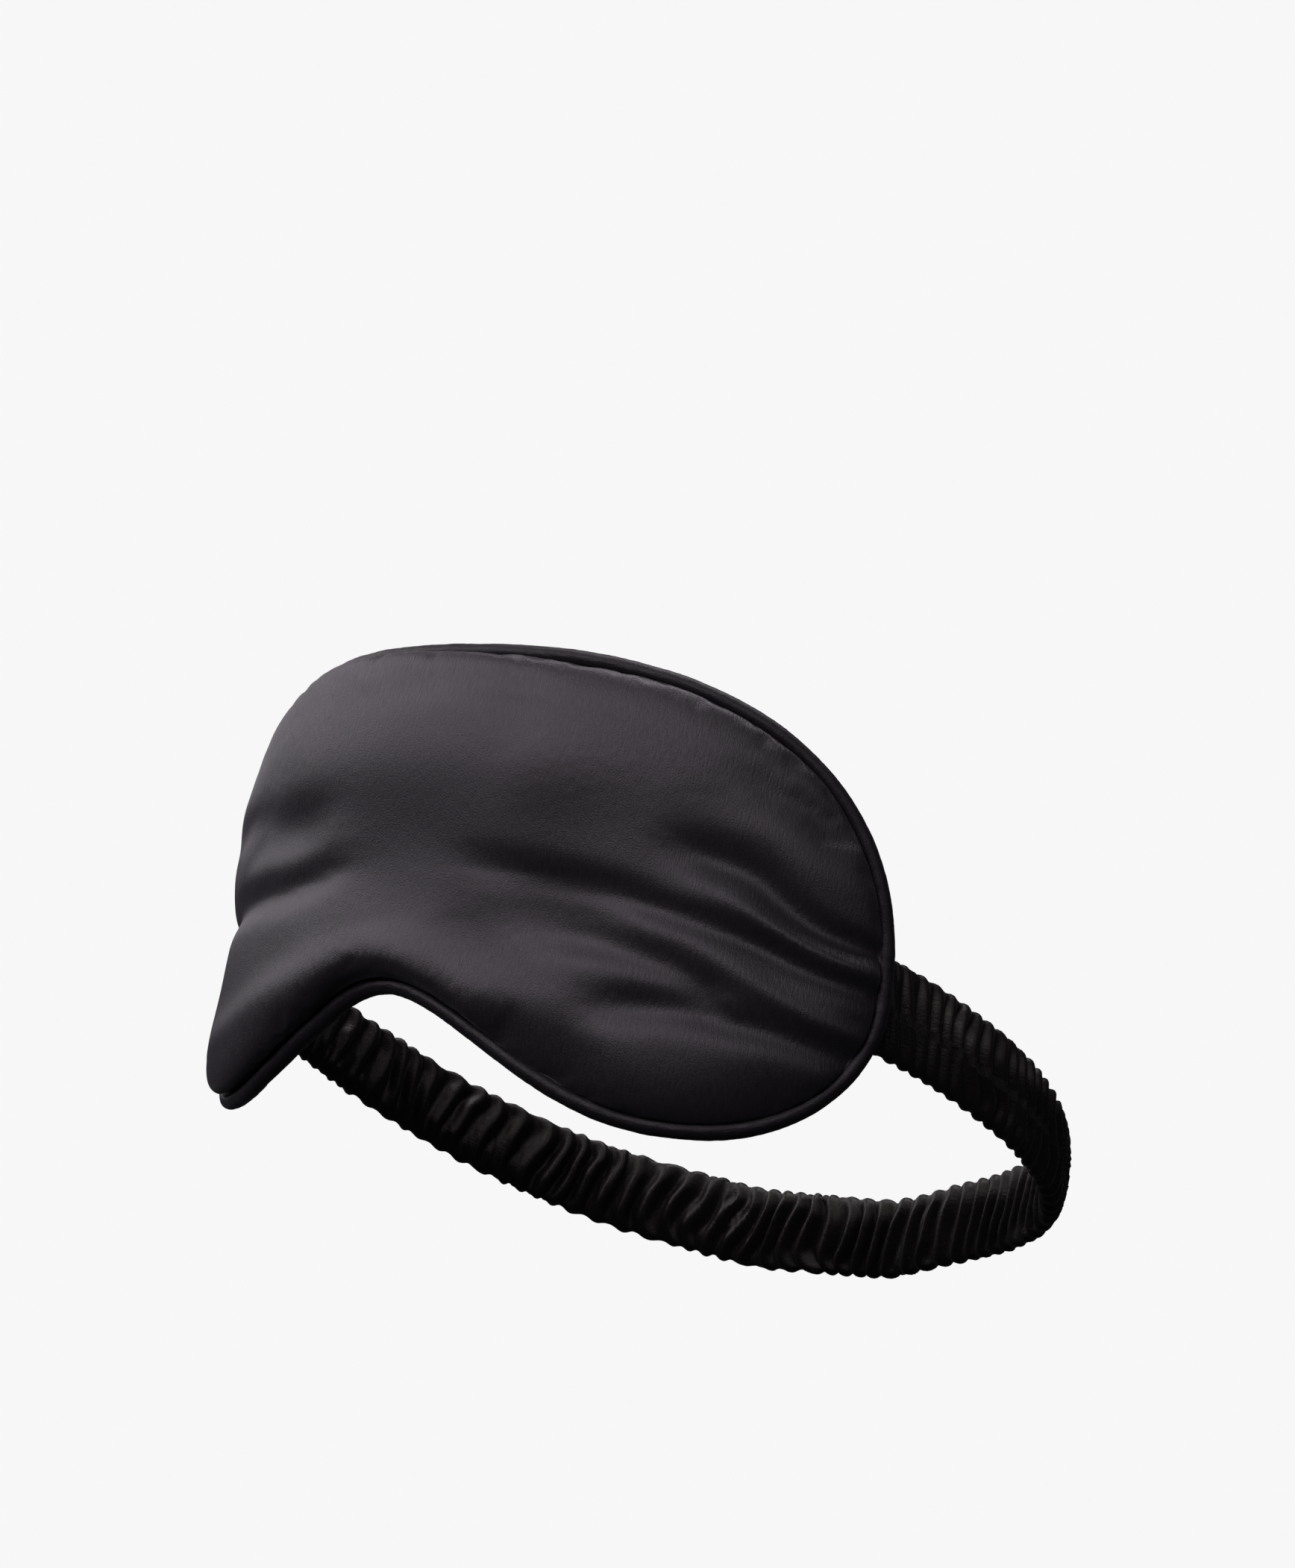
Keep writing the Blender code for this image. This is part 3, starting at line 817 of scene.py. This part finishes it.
class SLEEPMASK_OT_piping(Operator):
    """Run the corded satin piping round the edge of the mask"""

    bl_idname = "sleepmask.piping"
    bl_label = "Piping"

    def execute(self, context):
        radius = sizes().piping_radius
        plain = strip_section(radius)

        def strip_at(share):
            section = plain.copy()
            bead = section[:, 0] > -radius
            section[bead] *= 1 + sum(circle_noise(share, *each) for each in STRIP_SWELLS)
            lean = circle_noise(share, *STRIP_LEAN)
            section[:, 1] += lean * np.clip(1 + section[:, 0] / (2 * radius), 0, 1)
            section[bead, 0] += circle_noise(share, *STRIP_WRINKLE)
            return section

        rings, cloth = ring_run(strip_at, STRIP_STATIONS)
        strip = sweep("piping_bias_strip", rings, True, cloth)
        # the piping's satin is the front's satin darkened to 0.6: painted shade
        tidy_up(strip, stocked("piping satin painted shade", satin_finish, grain=0.8, depth=0.6), 70)
        piece_of(strip, "mask", "piping_strip")

        cord_radius = radius - STRIP_CLOTH - CORD_CLEAR

        def cord_at(share):
            turn = 2 * math.pi * CORD_TWISTS * share
            angles = np.linspace(0, 2 * math.pi, 18, endpoint=False)
            strands = np.abs(np.cos(1.5 * (angles - turn))) ** 0.6
            reach = cord_radius * (1 - CORD_GROOVE + CORD_GROOVE * strands)
            return np.column_stack([reach * np.cos(angles), reach * np.sin(angles)])

        rings, cloth = ring_run(cord_at, CORD_STATIONS)
        cord = sweep("piping_cotton_cord", rings, True, cloth)
        tidy_up(cord, stocked("cotton cord", cord_finish), 80)
        piece_of(cord, "mask", "piping_cord")
        return {"FINISHED"}


# ---------------------------------------------------------------- band


def band_root():
    """Where the band's middle line starts, behind the right-hand end of the mask."""
    return wrap(np.array([HALF_WIDTH - ROOT_INSET]), np.array([ROOT_LEVEL]), np.array([ROOT_OFFSET]))[0]


def band_curve():
    """Close points along the band's middle line, right end to left end."""
    root = band_root()
    controls = np.array(
        [root[:2], root[:2] + BAND_PULL, (BAND_CORNER, BAND_REAR), (BAND_FLAT_HALF, BAND_REAR)]
    )
    t = np.linspace(0, 1, 500)[:, None]
    side = (
        (1 - t) ** 3 * controls[0]
        + 3 * t * (1 - t) ** 2 * controls[1]
        + 3 * t**2 * (1 - t) * controls[2]
        + t**3 * controls[3]
    )
    level = ROOT_LEVEL + BAND_SLOPE * (side[:, 1] - root[1]) + BAND_DROOP * (side[:, 1] - root[1]) ** 2
    half = np.column_stack([side, level])
    return np.vstack([half, (half * (-1, 1, 1))[::-1]])


# How the soft band lies off its middle line: (share of its length, up, outwards), in millimetres
BAND_LIE = (
    (0.00, 3.0, 0.0),
    (0.10, 2.0, 0.8),
    (0.20, 1.7, 2.4),
    (0.27, 2.4, 2.8),
    (0.34, 3.4, -0.4),
    (0.40, 2.8, -4.0),
    (0.46, -0.8, -2.2),
    (0.53, -0.6, -0.8),
    (0.62, 0.9, 0.2),
    (0.80, -1.7, 0.0),
    (0.92, -1.6, 0.0),
    (1.00, -0.2, 0.0),
)


# The band's length in millimetres, over which the gathers spread out
BAND_RUN = 368.0
STATION_STEP = 0.00042
HEADING_REACH = 0.0008
# The cover is taller where it leaves the near side and lower where it leaves the far side: (metres, over what length)
NEAR_HEIGHT = (0.0010, 0.11)
FAR_HEIGHT = (0.0016, 0.05)
# It is lower again at the rear: (metres, at what share of its length, over what share)
PINCH = (0.0010, 0.44, 0.08)
COVER_EASES_IN = 0.016
# The cloth round the tube in metres, and the cloth gathered into each metre of it
COVER_CLOTH = (0.05, 1.6)


def lie(line):
    """The middle line as the soft band hangs."""
    run = distances(line)
    along = np.gradient(line[:, :2], run, axis=0)
    table = np.array(BAND_LIE)
    share = run / run[-1]
    window = np.hanning(len(line) // 8)
    padding = len(window) // 2
    up, out = (
        np.convolve(np.pad(np.interp(share, table[:, 0], table[:, k]), padding, "edge"), window / window.sum(), "same")
        [padding:-padding] * MM
        for k in (1, 2)
    )
    return line + np.column_stack([along[:, 1] * out, -along[:, 0] * out, up])


def band_stations(spacing, start=0.0, end=None):
    """(points, sideways directions, distance along, whole length) at even steps of the middle line."""
    line = lie(band_curve())
    run = distances(line)
    whole = run[-1]
    end = whole if end is None else end
    at = np.linspace(start, end, max(2, round((end - start) / spacing)) + 1)
    along = places_at(at + HEADING_REACH, run, line[:, :2]) - places_at(at - HEADING_REACH, run, line[:, :2])
    along /= np.linalg.norm(along, axis=1)[:, None]
    side = np.column_stack([along[:, 1], -along[:, 0], np.zeros(len(along))])
    return places_at(at, run, line), side, at, whole


def oval(count):
    """Points round the tube's section: (angle, sideways, up), with the last two from -1 to 1."""
    turn = np.linspace(0, 2 * math.pi, count, endpoint=False)
    x = np.sign(np.cos(turn)) * np.abs(np.cos(turn)) ** 0.62
    z = np.sign(np.sin(turn)) * np.abs(np.sin(turn)) ** 0.8
    return turn, x, z


def drift(s, *place):
    """Smooth noise at s millimetres along the band."""
    return noise.noise(Vector((s, *place)))


def fold_count(s):
    """How many gathers lie before s millimetres: they are closest where the band leaves the near side."""
    near, far = band_sizes().near_spacing / MM, band_sizes().far_spacing / MM
    growth = (far - near) / BAND_RUN
    return math.log(1 + growth * s / near) / growth


def gather_height(s, turn):
    """How far the gathered cloth stands out at s millimetres and an angle round the tube, from -1 to 1."""
    c, h = math.cos(turn), math.sin(turn)
    curl = 0.30 * math.sin(2.4 * h) + 0.55 * h * drift(s * 0.035, 11.0, 0.5 * c)
    sway = 0.75 * drift(s * 0.045, 0.6 * h, 0.35 * c + 4.0) + 0.22 * drift(s * 0.13, 1.3 * h, 0.6 * c + 8.0)
    count = fold_count(s) + curl + sway
    first = (0.5 + 0.5 * math.cos(2 * math.pi * count)) ** 1.25
    second = (0.5 + 0.5 * math.cos(4 * math.pi * count + 1.2)) ** 1.5
    split = float(ease(-0.3 + 2.2 * drift(s * 0.06, 0.7 * h, 0.5 * c + 30.0)))
    fine = drift(s * 0.9, 0.5 * h, 0.8 * c + 2.0)
    lift = 0.86 + 0.5 * drift(s * 0.11, 0.6 * h, 0.8 * c + 17.0)
    return (2 * (first + 0.7 * (second - first) * split) - 1) * lift + 0.10 * fine


def gathered_tube(name, start, end, material):
    """The gathered cover between two distances along the band."""
    band = band_sizes()
    points, side, at, whole = band_stations(STATION_STEP, start, end)
    turn, x, z = oval(46)
    rings, cloth = [], []
    for p, out, s in zip(points, side, at):
        full = float(ease(min(s, whole - s) / COVER_EASES_IN))
        near = float(ease(1 - s / NEAR_HEIGHT[1]))
        far = float(ease(1 - (whole - s) / FAR_HEIGHT[1]))
        thickness = band.root_thickness + (band.thickness - band.root_thickness) * full
        height = band.height + NEAR_HEIGHT[0] * near - FAR_HEIGHT[0] * far - hump(s / whole, *PINCH)
        depth = band.fold_depth * (0.62 + 0.38 * full) * (1 - 0.25 * near)
        heights = np.array([gather_height(s / MM, a) for a in turn])
        push = depth / 2 * heights
        across = (thickness / 2 - depth / 2) * x + push * np.cos(turn)
        up = (height / 2 - depth / 5) * z + 0.36 * push * np.sin(turn)
        rings.append(p + across[:, None] * out + up[:, None] * np.array([0, 0, 1]))
        cloth.append(np.column_stack([turn / (2 * math.pi) * COVER_CLOTH[0], np.full(len(turn), s * COVER_CLOTH[1])]))
    tube = sweep(name, rings, False, np.vstack(cloth), capped=False)
    apply(tube, "SOLIDIFY", thickness=sizes().cloth, offset=-1.0)
    tidy_up(tube, material, 75)
    return tube


def band_lengths():
    """The band's three lengths: the one that stretches, then the sewn ends. (name ending, start, end)"""
    whole = band_stations(MM)[3]
    return (
        ("", STITCHED_AT, whole - STITCHED_AT),
        ("_end_right", 0.0, STITCHED_AT),
        ("_end_left", whole - STITCHED_AT, whole),
    )


def hang(piece, ending):
    """Bakes a length's placement into its mesh, the same way for the middle length and the sewn ends."""
    if ending:
        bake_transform(piece)
    else:
        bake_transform(piece)


def flat_elastic(name, start, end, material):
    """The ribbed elastic between two distances along the band."""
    band = band_sizes()
    points, side, at, _ = band_stations(MM, start, end)
    half, rise = band.elastic_thickness / 2, band.elastic_height / 2
    levels = np.linspace(-rise, rise, 15)
    ribbed = half * (0.82 + 0.18 * np.abs(np.sin(np.arange(15) * math.pi / 2)))
    across = np.concatenate([ribbed, -ribbed[::-1]])
    up = np.concatenate([levels, levels[::-1]])
    rings = [p + across[:, None] * out + up[:, None] * np.array([0, 0, 1]) for p, out in zip(points, side)]
    cloth = [np.column_stack([up, np.full(len(up), s)]) for s in at]
    elastic = sweep(name, rings, False, np.vstack(cloth))
    tidy_up(elastic, material, 50)
    return elastic


class SLEEPMASK_OT_band(Operator):
    """Gather the satin tube over its flat elastic"""

    bl_idname = "sleepmask.band"
    bl_label = "Gathered Band"

    def execute(self, context):
        satin = stocked("band satin", satin_finish, grain=0.7, depth=0.62, matt=0.34, warmth=0.25)
        webbing = stocked("woven elastic", elastic_finish)
        for ending, start, end in band_lengths():
            cover = gathered_tube("band_cover" + ending, start, end, satin)
            "band_flat_elastic" + ending
            elastic = flat_elastic("band_flat_elastic" + ending, start, end, webbing)
            if not ending:
                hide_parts("band_tube")
                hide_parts("band_elastic")
            hang(cover, ending)
            hang(elastic, ending)
        return {"FINISHED"}


# ---------------------------------------------------------------- stitches


THREAD_RADIUS = 0.00025
STITCH_LENGTH = 0.0022
STITCH_STEP = 0.003
SEAM_STITCHES = 190
SEAM_INSET = 0.0034
SEAM_FORWARD = 0.0011
ABOVE_ELASTIC = 0.00045
GATHER_STITCHES = 7
GATHER_STEP = 0.0019
GATHER_OUT = 0.00095
TACK_STITCHES = 24
TACK_LENGTH = 0.0016


def one_stitch(name):
    """A short thread with rounded ends, lying along X from -0.5 to 0.5."""
    deselect()
    bpy.ops.mesh.primitive_cylinder_add(vertices=8, radius=THREAD_RADIUS, depth=1.0, rotation=(0, math.pi / 2, 0))
    stitch = bpy.context.object
    stitch.name = name
    bpy.ops.object.transform_apply(location=True, rotation=True, scale=True)
    apply(stitch, "BEVEL", width=0.6 * THREAD_RADIUS, segments=2, limit_method="ANGLE")
    return stitch


def stitch_row(name, places, material):
    """Copies of one stitch: places holds (middle, direction, length) of each."""
    model = one_stitch(name)
    base = np.array([v.co for v in model.data.vertices])
    body = np.clip(base[:, 0] / 0.5, -1, 1)
    faces = [tuple(p.vertices) for p in model.data.polygons]
    bpy.data.objects.remove(model)
    points, all_faces = [], []
    for middle, direction, length in places:
        direction = Vector(direction).normalized()
        turn = np.array(direction.to_track_quat("X", "Z").to_matrix())
        shape = np.column_stack([body * length / 2, base[:, 1], base[:, 2]])
        shape[:, 2] -= 0.35 * THREAD_RADIUS * body**2
        all_faces += [tuple(i + len(points) * len(base) for i in f) for f in faces]
        points.append(shape @ turn.T + np.array(middle))
    row = from_mesh(name, np.vstack(points), all_faces)
    tidy_up(row, material, 50)
    return row


class SLEEPMASK_OT_stitches(Operator):
    """Sew the perimeter seam, the tube's seam, the gathers and the bar tacks"""

    bl_idname = "sleepmask.stitches"
    bl_label = "Stitches"

    def execute(self, context):
        thread = stocked("sewing thread", thread_finish)
        loop = outline(SEAM_STITCHES)
        seam = loop - SEAM_INSET * outward(loop)
        at = wrap(seam[:, 0], seam[:, 1], np.full(len(seam), SEAM_FORWARD))
        places = [(p, q - o, STITCH_LENGTH) for o, p, q in zip(np.roll(at, 1, axis=0), at, np.roll(at, -1, axis=0))]
        row = stitch_row("perimeter_stitches", places, thread)
        piece_of(row, "mask", "perimeter_seam_thread")

        rise = band_sizes().elastic_height / 2 + ABOVE_ELASTIC
        for ending, start, end in band_lengths():
            points = band_stations(STITCH_STEP, start, end)[0]
            places = [(p + np.array([0, 0, rise]), q - p, STITCH_LENGTH) for p, q in zip(points, points[1:])]
            tube_seam = stitch_row("band_seam_stitches" + ending, places, thread)
            if not ending:
                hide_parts("band_seam_thread")
            hang(tube_seam, ending)

        whole = band_stations(MM)[3]
        for name, distance in (("right", STITCHED_AT), ("left", whole - STITCHED_AT)):
            points, side, _, _ = band_stations(MM, distance - MM, distance + MM)
            p, out = points[1], side[1]
            places = []
            for face in (1, -1):
                for k in range(GATHER_STITCHES):
                    level = (k - GATHER_STITCHES // 2) * GATHER_STEP
                    middle = p + face * GATHER_OUT * out + np.array([0, 0, level])
                    zigzag = 0.5 if k % 2 else -0.5
                    places.append((middle, (-out[1] * zigzag, out[0] * zigzag, 1.0), GATHER_STEP))
            row = stitch_row("gather_stitches_" + name, places, thread)
            piece_of(row, "band_ends", "end_stitches_" + name)

        for name, sign in (("right", 1), ("left", -1)):
            low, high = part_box("bar_tack_" + name)
            middle = (low + high) / 2
            levels = np.linspace(low.z + THREAD_RADIUS, high.z - THREAD_RADIUS, TACK_STITCHES)
            places = []
            for k, level in enumerate(levels):
                tilt = 0.35 if k % 2 else -0.35
                places.append(((middle.x, middle.y, level), (sign * 0.75, 0.66, tilt), TACK_LENGTH))
            row = stitch_row("bar_tack_stitches_" + name, places, thread)
            piece_of(row, "mask", "bar_tack_" + name)
        return {"FINISHED"}


# ---------------------------------------------------------------- stage

CAMERA_PLACE = (0.5900, -0.6214, -0.1307)
CAMERA_AIM = (0.01517, 0.05019, 0.03804)
CAMERA_ROLL = 8.71
CAMERA_LENS = 92.4
FLOOR_DROP = 0.35
ROOM_SIZE = 60.0

# Softboxes in an arc from the left to the front: (degrees round from the front, watts)
SOFTBOXES = ((-112, 1.4), (-68, 3.8), (-24, 4.7), (20, 4.3), (62, 1.3))
SOFTBOX_AWAY = 1.15
SOFTBOX_UP = 0.56
SOFTBOX_SIZE = (0.95, 0.75)
TOP_PLACE = (-0.1, 0.1, 1.15)
TOP_SIZE = (1.0, 0.8)
TOP_WATTS = 7.0
LIGHT_AIM = (0.0, 0.05, 0.0)
LIGHT_COLOUR = (1.0, 0.955, 1.015)
STUDIO_COLOUR = (0.024, 0.024, 0.026)


def soft_light(name, place, size, power):
    """A rectangle of light, turned to face the mask."""
    deselect()
    bpy.ops.object.light_add(type="AREA", location=place)
    light = bpy.context.object
    light.name = name
    light.rotation_euler = (Vector(LIGHT_AIM) - Vector(place)).to_track_quat("-Z", "Y").to_euler()
    light.data.shape = "RECTANGLE"
    light.data.size, light.data.size_y = size
    light.data.energy = power
    light.data.color = LIGHT_COLOUR


def pale_room():
    """A level floor under the mask and a far wall round it, both plain and pale."""
    pale = bpy.data.materials.new("pale room")
    pale.use_nodes = True
    shader = pale.node_tree.nodes["Principled BSDF"]
    shader.inputs["Base Color"].default_value = (0, 0, 0, 1)
    shader.inputs["Roughness"].default_value = 1.0
    shader.inputs["Specular IOR Level"].default_value = 0.0
    shader.inputs["Emission Color"].default_value = (*colours().room, 1)
    shader.inputs["Emission Strength"].default_value = 1.0
    deselect()
    bpy.ops.mesh.primitive_plane_add(size=ROOM_SIZE, location=(0, 0, CAD_BOX[0].z - FLOOR_DROP))
    floor = bpy.context.object
    floor.name = "floor"
    deselect()
    bpy.ops.mesh.primitive_uv_sphere_add(radius=ROOM_SIZE / 2, segments=48, ring_count=24)
    wall = bpy.context.object
    wall.name = "backdrop"
    bpy.ops.object.mode_set(mode="EDIT")
    bpy.ops.mesh.select_all(action="SELECT")
    bpy.ops.mesh.normals_make_consistent(inside=True)
    bpy.ops.object.mode_set(mode="OBJECT")
    for part in (floor, wall):
        part.data.materials.append(pale)
        part.visible_glossy = False
        part.visible_diffuse = False
        part.visible_shadow = False


class SLEEPMASK_OT_stage(Operator):
    """Set up the pale room, the soft lights and the camera"""

    bl_idname = "sleepmask.stage"
    bl_label = "Stage"

    def execute(self, context):
        scene = context.scene
        pale_room()
        world = bpy.data.worlds.new("studio")
        world.use_nodes = True
        world.node_tree.nodes["Background"].inputs["Color"].default_value = (*STUDIO_COLOUR, 1)
        scene.world = world
        for turn, power in SOFTBOXES:
            angle = math.radians(turn)
            place = (SOFTBOX_AWAY * math.sin(angle), LIGHT_AIM[1] - SOFTBOX_AWAY * math.cos(angle), SOFTBOX_UP)
            soft_light(f"softbox {turn}", place, SOFTBOX_SIZE, power)
        soft_light("top softbox", TOP_PLACE, TOP_SIZE, TOP_WATTS)

        deselect()
        bpy.ops.object.camera_add(location=CAMERA_PLACE)
        camera = context.object
        toward = Vector(CAMERA_AIM) - Vector(CAMERA_PLACE)
        camera.rotation_mode = "QUATERNION"
        roll = Quaternion((0, 0, 1), math.radians(CAMERA_ROLL))
        camera.rotation_quaternion = toward.to_track_quat("-Z", "Y") @ roll
        camera.data.sensor_width = 36.0
        camera.data.lens = CAMERA_LENS
        camera.data.clip_end = 200.0
        scene.camera = camera
        scene.view_settings.view_transform = "Standard"
        return {"FINISHED"}


# ---------------------------------------------------------------- add-on


class SLEEPMASK_PT_sidebar(Panel):
    bl_idname = "SLEEPMASK_PT_sidebar"
    bl_label = "Sleep Mask"
    bl_space_type = "VIEW_3D"
    bl_region_type = "UI"
    bl_category = "Sleep Mask"

    def draw(self, context):
        for step in STEPS:
            self.layout.operator(step.bl_idname)
        for group in (sizes(), band_sizes(), colours()):
            box = self.layout.box()
            for key in group.__annotations__:
                box.prop(group, key)


STEPS = (
    SLEEPMASK_OT_stage,
    SLEEPMASK_OT_panels,
    SLEEPMASK_OT_filling,
    SLEEPMASK_OT_piping,
    SLEEPMASK_OT_band,
    SLEEPMASK_OT_stitches,
)
CLASSES = (MaskSizes, BandSizes, MaskColours, *STEPS, SLEEPMASK_PT_sidebar)


def register():
    for each in CLASSES:
        bpy.utils.register_class(each)
    bpy.types.Scene.sleep_mask_sizes = PointerProperty(type=MaskSizes)
    bpy.types.Scene.sleep_band_sizes = PointerProperty(type=BandSizes)
    bpy.types.Scene.sleep_mask_colours = PointerProperty(type=MaskColours)


def unregister():
    del bpy.types.Scene.sleep_mask_colours
    del bpy.types.Scene.sleep_band_sizes
    del bpy.types.Scene.sleep_mask_sizes
    for each in reversed(CLASSES):
        bpy.utils.unregister_class(each)


def main():
    register()
    bpy.ops.sleepmask.stage()
    bpy.ops.sleepmask.panels()
    bpy.ops.sleepmask.filling()
    bpy.ops.sleepmask.piping()
    bpy.ops.sleepmask.band()
    bpy.ops.sleepmask.stitches()


if __name__ == "__main__":
    main()
